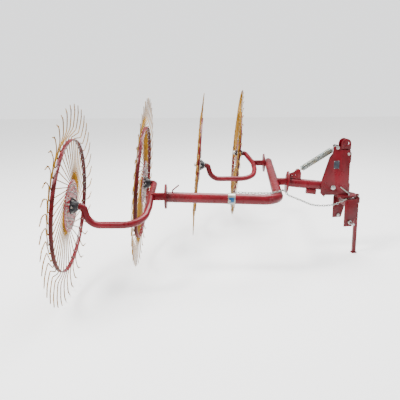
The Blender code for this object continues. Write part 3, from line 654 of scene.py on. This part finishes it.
for name, first, shaft_y in (("near", WHEELS[1], NEAR_Y), ("far", WHEELS[3], FAR_Y)):
    rock = "rocker_" + name
    dx, shaft_z = SHAFTS[name]
    route = arm_way(dx - SHAFTS["near"][0], shaft_z - SHAFTS["near"][1])
    drop = AXIS * (AXLE_L + 0.0003)
    way = [first + Vector(p[:3]) for p in route]
    way[0] = first + drop
    way.append(first + PAIR + drop)
    bm = bmesh.new()
    path = rounded(way, [p[3] for p in route] + [0.0], 12)
    sweep(bm, path, 0.0249, 32)
    put(obj_from(bm, "arm_tube_" + name, RED), rock, "rocker_arm_" + name, slot="red_paint")
    bevelled("rocker_pivot_" + name, rock, RED, 0.0018)
    bm = bmesh.new()
    for c in (first + drop, first + PAIR + drop):
        weld(bm, ring_points(c - AXIS * 0.0003, AXIS, 0.0242, 40), 0.0022)
    d = first.x + dx + 0.005 + 0.105
    q = 0.0252
    weld(bm, [(d - 0.001, shaft_y - q, shaft_z - q), (d - 0.001, shaft_y + q, shaft_z - q), (d - 0.001, shaft_y + q, shaft_z + q), (d - 0.001, shaft_y - q, shaft_z + q)], 0.0032)
    put(obj_from(bm, "arm_welds_" + name, RED), rock, slot="red_paint")

# ------------------------------------------------------------------ frame tube
near_disc = WHEELS[1].x + SHAFTS["near"][0] + 0.005 + 0.105 + 0.005 + 0.002
far_disc = WHEELS[3].x + SHAFTS["far"][0] + 0.005 + 0.105 + 0.005 + 0.002
tube_start = near_disc + 0.005 + 0.0003
cross_x = far_disc + 0.005 + TUBE_R + 0.0065
tube_way = [(tube_start + 0.0011, NEAR_Y, TUBE_Z0), (TUBE_X1, NEAR_Y, TUBE_Z1), (cross_x + 0.004, FAR_Y + 0.085, TUBE_Z2)]
near_dir = (Vector(tube_way[1]) - Vector(tube_way[0])).normalized()
cross_dir = (Vector(tube_way[2]) - Vector(tube_way[1])).normalized()
bm = bmesh.new()
path = rounded(tube_way, [0, 0.14, 0], 20)
sweep(bm, path, 0.0399, 48)
put(obj_from(bm, "frame_pipe", RED), "boom", "frame_tube", slot="red_paint")
for name, x, y in (("near", near_disc, NEAR_Y), ("far", far_disc, FAR_Y)):
    bevelled("frame_disc_" + name, "boom", RED, 0.0012)
bm = bmesh.new()
weld(bm, ring_points((tube_start + 0.0012, NEAR_Y, TUBE_Z0), (1, 0, 0), 0.0402, 56), 0.0035)
weld(bm, [p + Vector((0, 0, 0)) for p in ring_points((cross_x - TUBE_R - 0.002, FAR_Y, SHAFTS["far"][1]), (1, 0, 0), 0.0362, 48)], 0.0032, seed=2)
put(obj_from(bm, "frame_welds", RED), "boom", slot="red_paint")
bm = bmesh.new()
end = Vector((cross_x + 0.004, FAR_Y + 0.085, TUBE_Z2))
lathe(bm, [(0, 0.0060), (0.020, 0.0059), (0.034, 0.0053), (0.0405, 0.0038), (0.042, 0.0018), (0.042, 0.0003), (0, 0.0003)], frame_on(end, cross_dir), 48)
put(obj_from(bm, "end_plug", BLACK), "boom", "tube_end_cap", slot="black_paint")
bm = bmesh.new()
hx = near_disc + 0.050
hz = tube_z(hx)
path = rounded([(hx, NEAR_Y - 0.01, hz + 0.0385), (hx + 0.002, NEAR_Y - 0.01, hz + 0.058), (hx + 0.050, NEAR_Y - 0.01, hz + 0.0975)], [0, 0.010, 0], 6)
sweep(bm, path, 0.0049, 16)
weld(bm, ring_points((hx, NEAR_Y - 0.01, hz + 0.0392), (0, 0, 1), 0.0058, 20), 0.0018)
put(obj_from(bm, "lock_lever", RED), "boom", "lock_handle_near", slot="red_paint")

# band clamp: wide strap with rolled edges, blank label, bolt and eye below
cx = 0.0263
cz = tube_z(cx)
bm = bmesh.new()
prof = [(0.0409, 0.028), (0.0436, 0.028), (0.0444, 0.0265), (0.0438, 0.0225), (0.0436, 0.012), (0.0436, -0.012), (0.0438, -0.0225), (0.0444, -0.0265), (0.0436, -0.028), (0.0409, -0.028), (0.0409, 0.028)]
lathe(bm, prof, frame_on((cx, NEAR_Y, cz), near_dir), 64)
put(obj_from(bm, "clamp_strap", ZINC, sharp=30), "boom", "band_clamp", slot="zinc_steel")

bm = bmesh.new()
bolt(bm, (cx - 0.014, NEAR_Y - 0.0445, cz - 0.006), (0, -1, 0), 0.0070, 0.3, True)
bolt(bm, (cx, NEAR_Y - 0.004, cz - 0.0445), (0, 0, -1), 0.0090, 0.6, True)
sweep(bm, [Vector((cx, NEAR_Y - 0.004 + 0.009 * math.cos(a), cz - 0.066 + 0.009 * math.sin(a))) for a in [math.tau * k / 20 for k in range(20)]], 0.0028, 10, closed=True)
put(obj_from(bm, "clamp_bolts", BOLT, sharp=25), "boom", slot="zinc_steel")
# blank label, wrapped on the front of the strap
bm = bmesh.new()
rows = []
for i in range(13):
    a = math.radians(-118 + 52 * i / 12)
    rows.append([bm.verts.new((x, NEAR_Y + 0.04395 * math.sin(a), cz + 0.04395 * math.cos(a))) for x in (cx - 0.020, cx + 0.020)])
for a, b in zip(rows, rows[1:]):
    bm.faces.new((a[0], a[1], b[1], b[0]))
me_geo = bmesh.ops.solidify(bm, geom=bm.faces[:], thickness=0.0003)
put(obj_from(bm, "clamp_label", BLUE), "boom")

# ------------------------------------------------------------------ boom
slope_z = math.tan(BOOM_SLOPE)
BOOM_DISC_X = 0.5323
disc_z = LIFT.z + (LIFT.x - BOOM_DISC_X) * slope_z
beam_start = Vector((BOOM_DISC_X - 0.002, BOOM_Y, disc_z)) + RUN * 0.0123
bevelled("boom_stub", "boom", RED, 0.0018)
bm = bmesh.new()
lathe(bm, soften([(0, 0), (0.0398, 0), (0.0398, (LIFT - beam_start).length + 0.018), (0.0370, (LIFT - beam_start).length + 0.0195), (0, (LIFT - beam_start).length + 0.0195)], 0.0006), frame_on(beam_start, RUN), 48)
put(obj_from(bm, "boom_pipe", RED, sharp=30), "boom", "boom_tube", slot="red_paint")
bm = bmesh.new()
weld(bm, ring_points(beam_start + RUN * 0.0015, RUN, 0.0405, 56), 0.0036)
cross_y = BOOM_Y
cross_x2 = tube_way[1][0] + (BOOM_Y - NEAR_Y) / cross_dir.y * cross_dir.x
for s in (-1, 1):
    weld(bm, [(cross_x2 + TUBE_R - 0.004, BOOM_Y + s * 0.029, disc_z + 0.004 - 0.022), (cross_x2 + TUBE_R - 0.001, BOOM_Y + s * 0.029, disc_z + 0.004), (cross_x2 + TUBE_R - 0.004, BOOM_Y + s * 0.029, disc_z + 0.004 + 0.022)], 0.003, closed=False)
q = 0.0277
sx = BOOM_DISC_X - 0.0035
weld(bm, [(sx, BOOM_Y - q, disc_z + 0.004 - q), (sx, BOOM_Y + q, disc_z + 0.004 - q), (sx, BOOM_Y + q, disc_z + 0.004 + q), (sx, BOOM_Y - q, disc_z + 0.004 + q)], 0.0034, seed=3)
put(obj_from(bm, "boom_welds", RED), "boom", slot="red_paint")
bevelled("spring_bracket", "boom", RED, 0.0012)
bevelled("boom_rest_block", "boom", RED, 0.0018)

# ------------------------------------------------------------------ headstock
for name in ("near", "far"):
    bevelled("headstock_plate_" + name, "headstock", RED, 0.0015)
for name in ("lower", "upper"):
    bevelled("post_collar_" + name, "headstock", RED, 0.0012)
bevelled("swivel_disc", "headstock", RED, 0.0012)
PLATE_Y, PLATE_T = 0.051, 0.008
bolt_high = Vector((0.9483, BOOM_Y, 0.9596))
o = PLATE_Y + PLATE_T / 2 + 0.0005
for name, at, r, head in (("lift_pin", LIFT, 0.015, 0.021), ("spring_bolt", bolt_high, 0.010, 0.016)):
    bm = bmesh.new()
    lathe(bm, soften([(0, o + 0.001), (r - 0.0002, o + 0.001), (r - 0.0002, -o - 0.001), (0, -o - 0.001)], 0.0005), frame_on(at, (0, 1, 0)), 36)
    for s in (-1, 1):
        p = Vector(at) + Vector((0, s * o, 0))
        lathe(bm, [(0, 0.0020), (head * 0.96, 0.0020), (head * 0.99, 0.0014), (head * 0.99, 0.0), (0, 0.0)], frame_on(p, (0, s, 0)), 36)
        hexagon(bm, p + Vector((0, s * 0.0020, 0)), (0, s, 0), head * 1.62, 0.0080, 0.35 if s < 0 else 0.1)
        if s < 0:
            lathe(bm, [(0, 0.0105), (head * 0.40, 0.0104), (head * 0.44, 0.0100), (head * 0.44, 0.0090), (0, 0.0090)], frame_on(p, (0, s, 0)), 24)
    put(obj_from(bm, name + "_set", BOLT, sharp=25), "headstock", name, slot="zinc_steel")
bm = bmesh.new()
for z in (0.645, 0.825, 0.915):
    for s in (-1, 1):
        weld(bm, [(1.012, BOOM_Y + s * 0.0455, z + (-0.004 if z < 0.8 else 0.004 if z < 0.9 else -0.004)), (1.056, BOOM_Y + s * 0.0455, z + (-0.004 if z < 0.8 else 0.004 if z < 0.9 else -0.004))], 0.0026, closed=False)
foot = 0.5486
for s in (-1, 1):
    weld(bm, [(0.985, BOOM_Y + s * 0.0565, foot + 0.001), (1.056, BOOM_Y + s * 0.0565, foot + 0.001)], 0.0030, closed=False)
put(obj_from(bm, "headstock_welds", RED), "headstock", slot="red_paint")
bm = bmesh.new()
bolt(bm, (1.0453, BOOM_Y - PLATE_Y - PLATE_T / 2 + 0.0002, 0.905), (0, -1, 0), 0.012, 0.25, True, 0.4)
bolt(bm, (1.0453, BOOM_Y + PLATE_Y + PLATE_T / 2 - 0.0002, 0.905), (0, 1, 0), 0.012, 0.25, True, 0.4)
put(obj_from(bm, "collar_bolts", BOLT, sharp=25), "headstock", slot="zinc_steel")
# blank plate with four rivets
bm = bmesh.new()
ly = BOOM_Y - PLATE_Y - PLATE_T / 2
hw, hh, cr = 0.0234, 0.0349, 0.004
outline = []
for sx_, sz_, a0 in ((1, 1, 0), (-1, 1, 90), (-1, -1, 180), (1, -1, 270)):
    for k in range(5):
        a = math.radians(a0 + 90 * k / 4)
        outline.append((0.9453 + sx_ * (hw - cr) + cr * math.cos(a), 0.814 + sz_ * (hh - cr) + cr * math.sin(a)))
fr = [bm.verts.new((x, ly - 0.0017, z)) for x, z in outline]
bk = [bm.verts.new((x, ly - 0.0003, z)) for x, z in outline]
bm.faces.new(fr)
bm.faces.new(bk[::-1])
for k in range(len(fr)):
    bm.faces.new((fr[k], bk[k], bk[(k + 1) % len(bk)], fr[(k + 1) % len(fr)]))
put(obj_from(bm, "blank_plate_face", LABEL, smooth=False), "headstock", "blank_plate", slot="dark_plate")
bm = bmesh.new()
for sx_ in (-1, 1):
    for sz_ in (-1, 1):
        lathe(bm, [(0, 0.0012), (0.0014, 0.0010), (0.0022, 0.0005), (0.0025, 0.0), (0, 0)], frame_on((0.9453 + sx_ * 0.0190, ly - 0.0016, 0.814 + sz_ * 0.0305), (0, -1, 0)), 16)
put(obj_from(bm, "plate_rivets", BOLT), "headstock", slot="zinc_steel")
# lock pin
LOCK_R, LOCK_AT, SWIVEL_Z = 0.077, math.radians(-80.0), 0.548
lock = Vector((LOCK_R * math.cos(LOCK_AT), LOCK_R * math.sin(LOCK_AT), 0))
post = POST.copy()
p0, p1 = SWIVEL_Z - 0.027, SWIVEL_Z + 0.016
bm = bmesh.new()
path = rounded([post + lock + Vector((0, 0, p0)), post + lock + Vector((0, 0, p1)), post + lock + Vector((-0.076, -0.006, p1 + 0.062))], [0, 0.014, 0], 10)
path = [path[0]] + path
path[1] = path[0] + Vector((0, 0, 0.003))
sweep(bm, path, [0.0042] + [0.0059] * (len(path) - 1), 18)
put(obj_from(bm, "lock_pin_bar", ZINC, sharp=30), "headstock", "swivel_lock_pin", slot="zinc_steel")

# ------------------------------------------------------------------ spring
bracket = (Matrix.Translation(beam_start + RUN * 0.058 + Vector((0, 0, TUBE_R / math.cos(BOOM_SLOPE) + 0.0003)))
           @ Matrix.Rotation(BOOM_SLOPE, 4, "Y"))
eye_at = bracket @ Vector((0.022, 0, 0.066))
hook_dir = (bolt_high - eye_at).normalized()
coil0, coil1 = eye_at + hook_dir * 0.034, bolt_high - hook_dir * 0.046
wire = 0.0033
length = (coil1 - coil0).length
turns = int((length - 2 * wire) / (2 * wire * 1.04))
fm = frame_on(coil0, hook_dir)
bm = bmesh.new()
steps = 16
path = []
rise = (length - 2 * wire) / turns
for k in range(turns * steps + 1):
    a = math.tau * k / steps
    path.append(fm @ Vector(((0.0249 - wire) * math.cos(a), (0.0249 - wire) * math.sin(a), wire + rise * k / steps)))
sweep(bm, path, wire, 8)
coil = obj_from(bm, "spring_coil", SPRING)
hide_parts("tension_spring")
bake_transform(coil)
for name, centre, way, reach, inner in (("lower", eye_at, hook_dir, 0.034, 0.0135), ("upper", bolt_high, -hook_dir, 0.046, 0.0175)):
    side = Vector((0, 1, 0)).cross(way).normalized()
    loop = [centre - way * (inner * math.cos(a)) + side * (inner * math.sin(a)) for a in (math.radians(-118 + 236 * k / 24) for k in range(25))]
    loop += [centre + way * (reach - 0.0043), centre + way * (reach - 0.0003)]
    bm = bmesh.new()
    sweep(bm, loop, 0.00345, 12)
    lathe(bm, [(0, 0.0), (0.0105, 0.0), (0.0170, 0.0050), (0.0170, 0.0110), (0, 0.0110)], frame_on(centre + way * (reach - 0.0050), way), 28)
    eye = obj_from(bm, "spring_hook_" + name, SPRING)
    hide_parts("spring_eye_" + name)
    if name == "lower":
        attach(eye, "boom")
    else:
        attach(eye, "headstock")

# ------------------------------------------------------------------ hitch
for node in ("hitch_disc", "hitch_neck", "hitch_crossbar", "stand_arm", "stand_sleeve", "link_plate_near", "link_plate_far",
             "top_link_plate_near", "top_link_plate_far"):
    bevelled(node, "hitch", RED, 0.0015)
bm = bmesh.new()
lathe(bm, soften([(0, 0.5386), (0.0249, 0.5386), (0.0249, 0.9749), (0, 0.9749)], 0.0015), Matrix.Translation(post), 48)
put(obj_from(bm, "post_bar", RED, sharp=30), "hitch", "swivel_post", slot="red_paint")
for name, s in (("near", -1), ("far", 1)):
    bm = bmesh.new()
    m = frame_on(HITCH @ Vector((-0.002, s * 0.123, 0.325)), HITCH.to_3x3() @ Vector((0, s, 0)))
    lathe(bm, soften([(0, 0.0848), (0.0085, 0.0848), (0.0108, 0.0815), (0.0108, 0.0143), (0.0178, 0.0143), (0.0178, 0.0057), (0.0108, 0.0057), (0.0108, -0.0138), (0, -0.0138)], 0.0005), m, 40)
    ax = HITCH.to_3x3() @ Vector((0, s, 0))
    hexagon(bm, HITCH @ Vector((-0.002, s * 0.1175, 0.325)), -ax, 0.0300, 0.0080, 0.2)
    put(obj_from(bm, "link_stud_" + name, BOLT, sharp=25), "hitch", "link_pin_" + name, slot="zinc_steel")
bm = bmesh.new()
weld(bm, [HITCH @ Vector((0.0, -0.1165, 0.5145)), HITCH @ Vector((0.0285, -0.1165, 0.5145))], 0.0030, closed=False)
weld(bm, ring_points(post + Vector((0, 0, 0.5150)), (0, 0, 1), 0.0395, 48), 0.0030, seed=4)
put(obj_from(bm, "hitch_welds", RED), "hitch", slot="red_paint")

# ------------------------------------------------------------------ stand
for node in ("parking_leg", "parking_foot"):
    bevelled(node, "stand", RED, 0.0015)
bm = bmesh.new()
a, b = HITCH @ Vector((0.112, -0.030, 0.526)), HITCH @ Vector((0.112, 0.030, 0.526))
sweep(bm, [a, a.lerp(b, 0.02), a.lerp(b, 0.98), b], [0.0040, 0.00495, 0.00495, 0.0040], 20)
put(obj_from(bm, "leg_pin", BOLT, sharp=30), "stand", "parking_leg_pin", slot="zinc_steel")

# ------------------------------------------------------------------ chain: links laid along the modelled run
def curve(points, per):
    p = [Vector(q_) for q_ in points]
    p = [2 * p[0] - p[1]] + p + [2 * p[-1] - p[-2]]
    out = []
    for i in range(1, len(p) - 2):
        for k in range(per):
            t = k / per
            out.append(0.5 * ((2 * p[i]) + (p[i + 1] - p[i - 1]) * t + (2 * p[i - 1] - 5 * p[i] + 4 * p[i + 1] - p[i + 2]) * t * t
                              + (3 * p[i] - p[i - 1] - 3 * p[i + 1] + p[i + 2]) * t ** 3))
    out.append(p[-2])
    return out


hook_end = HITCH @ Vector((-0.030, -0.123, 0.526))
way = curve([(cx + 0.033, NEAR_Y + 0.010, cz + TUBE_R + 0.0070), (cx + 0.19, NEAR_Y + 0.018, tube_z(0.216) + TUBE_R + 0.0064),
             (0.3263, NEAR_Y + 0.030, tube_z(0.3263) + TUBE_R + 0.0066), (0.3913, NEAR_Y + 0.075, TUBE_Z1 + TUBE_R + 0.0075),
             (0.4483, -0.650, TUBE_Z1 + TUBE_R - 0.001), (0.4963, -0.600, TUBE_Z1 - 0.012), (0.596, -0.545, 0.572), (0.716, -0.480, 0.513),
             (0.836, -0.420, 0.491), (0.936, -0.375, 0.494), (0.981, -0.350, 0.510), tuple(hook_end + Vector((-0.010, -0.004, 0.002)))], 24)
run_len = [0.0]
for a, b in zip(way, way[1:]):
    run_len.append(run_len[-1] + (b - a).length)


def along(s):
    s = min(max(s, 0.0), run_len[-1])
    lo, hi = 0, len(run_len) - 1
    while hi - lo > 1:
        mid = (lo + hi) // 2
        if run_len[mid] <= s:
            lo = mid
        else:
            hi = mid
    f = (s - run_len[lo]) / max(run_len[hi] - run_len[lo], 1e-9)
    return way[lo].lerp(way[hi], f), (way[hi] - way[lo]).normalized()


LINK, WIRE, HALF = 0.0245, 0.0026, 0.0066      # inner pitch of a link, wire radius, half width to the wire's middle
count = int(run_len[-1] / LINK)
pitch = run_len[-1] / count


def link(bm, s):
    c, d = along((s + 0.5) * pitch)
    up = Vector((0, 0, 1))
    side = d.cross(up).normalized()
    up = side.cross(d)
    roll = math.radians(45 + (90 if s % 2 else 0)) + rng.uniform(-0.12, 0.12)
    w = side * math.cos(roll) + up * math.sin(roll)
    half = pitch / 2 + WIRE * 0.9 - HALF
    pts = []
    for k in range(7):
        a = math.radians(-90 + 180 * k / 6)
        pts.append(c + d * (half + HALF * math.cos(a)) + w * (HALF * math.sin(a)))
    for k in range(7):
        a = math.radians(90 + 180 * k / 6)
        pts.append(c + d * (-half + HALF * math.cos(a)) + w * (HALF * math.sin(a)))
    sweep(bm, pts, WIRE, 8, closed=True)


split = next(i for i in range(count) if along((i + 0.5) * pitch)[0].x > 0.90)
bm = bmesh.new()
for s in range(split):
    link(bm, s)
for s in range(3):          # no shackle is drawn here
    pass
chain_a = obj_from(bm, "chain_run", ZINC)
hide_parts("lift_chain")
bm = bmesh.new()
for s in range(split, count):
    link(bm, s)
end_p, end_d = along(run_len[-1])
hk = [end_p + Vector((0.002, 0, -0.002)), end_p + Vector((0.010, 0.001, 0.004)), end_p + Vector((0.018, 0.002, 0.000)), end_p + Vector((0.020, 0.002, -0.010))]
chain_b = obj_from(bm, "chain_end", ZINC)
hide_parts("lift_chain")
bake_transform(chain_a)
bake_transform(chain_b)

# ------------------------------------------------------------------ light and floor
lo, hi = Vector(cad_box[0]), Vector(cad_box[1])
bm = bmesh.new()
q = 14.0
bm.faces.new([bm.verts.new((x, y, lo.z - 0.0002)) for x, y in ((-q, -q), (q, -q), (q, q), (-q, q))])
floor_mat, nt, bsdf, co = graph("studio_floor")
nt.links.new(ramp(nt, noise_at(nt, co, 0.6, 3.0, 0.5), [(0.3, (0.90, 0.90, 0.90)), (0.7, (0.94, 0.94, 0.94))]), bsdf.inputs["Base Color"])
bsdf.inputs["Roughness"].default_value = 0.75
path = nt.nodes.new("ShaderNodeLightPath")
glow = nt.nodes.new("ShaderNodeMath")
glow.operation = "MULTIPLY"
glow.inputs[1].default_value = 1.15
nt.links.new(path.outputs["Is Camera Ray"], glow.inputs[0])
bsdf.inputs["Emission Color"].default_value = (1.0, 1.0, 1.0, 1)
nt.links.new(glow.outputs[0], bsdf.inputs["Emission Strength"])
floor = obj_from(bm, "studio_floor", floor_mat, smooth=False)
world = bpy.data.worlds.get("World") or bpy.data.worlds.new("World")
bpy.context.scene.world = world
world.use_nodes = True
bg = world.node_tree.nodes["Background"]
bg.inputs["Color"].default_value = (0.98, 0.99, 1.0, 1)
path = world.node_tree.nodes.new("ShaderNodeLightPath")
glow = world.node_tree.nodes.new("ShaderNodeMath")
glow.operation = "MULTIPLY_ADD"
glow.inputs[1].default_value = 1.35
glow.inputs[2].default_value = 0.46
world.node_tree.links.new(path.outputs["Is Camera Ray"], glow.inputs[0])
world.node_tree.links.new(glow.outputs[0], bg.inputs["Strength"])


def lamp(name, place, aim, size, power, tint=(1, 1, 1)):
    li = bpy.data.lights.new(name, "AREA")
    li.shape = "RECTANGLE"
    li.size, li.size_y = size
    li.energy = power
    li.color = tint
    ob = bpy.data.objects.new(name, li)
    bpy.context.scene.collection.objects.link(ob)
    ob.location = place
    ob.rotation_euler = (Vector(aim) - Vector(place)).to_track_quat("-Z", "Y").to_euler()


lamp("key", (-2.8, -2.6, 5.4), (0, 0, 0.5), (1.4, 1.4), 520, (1.0, 0.985, 0.96))
lamp("top", (0.8, 1.6, 5.8), (0, 0, 0.4), (4.0, 4.0), 620)
lamp("fill", (4.6, -3.4, 2.6), (0.2, 0, 0.5), (2.6, 2.6), 40, (0.94, 0.97, 1.0))
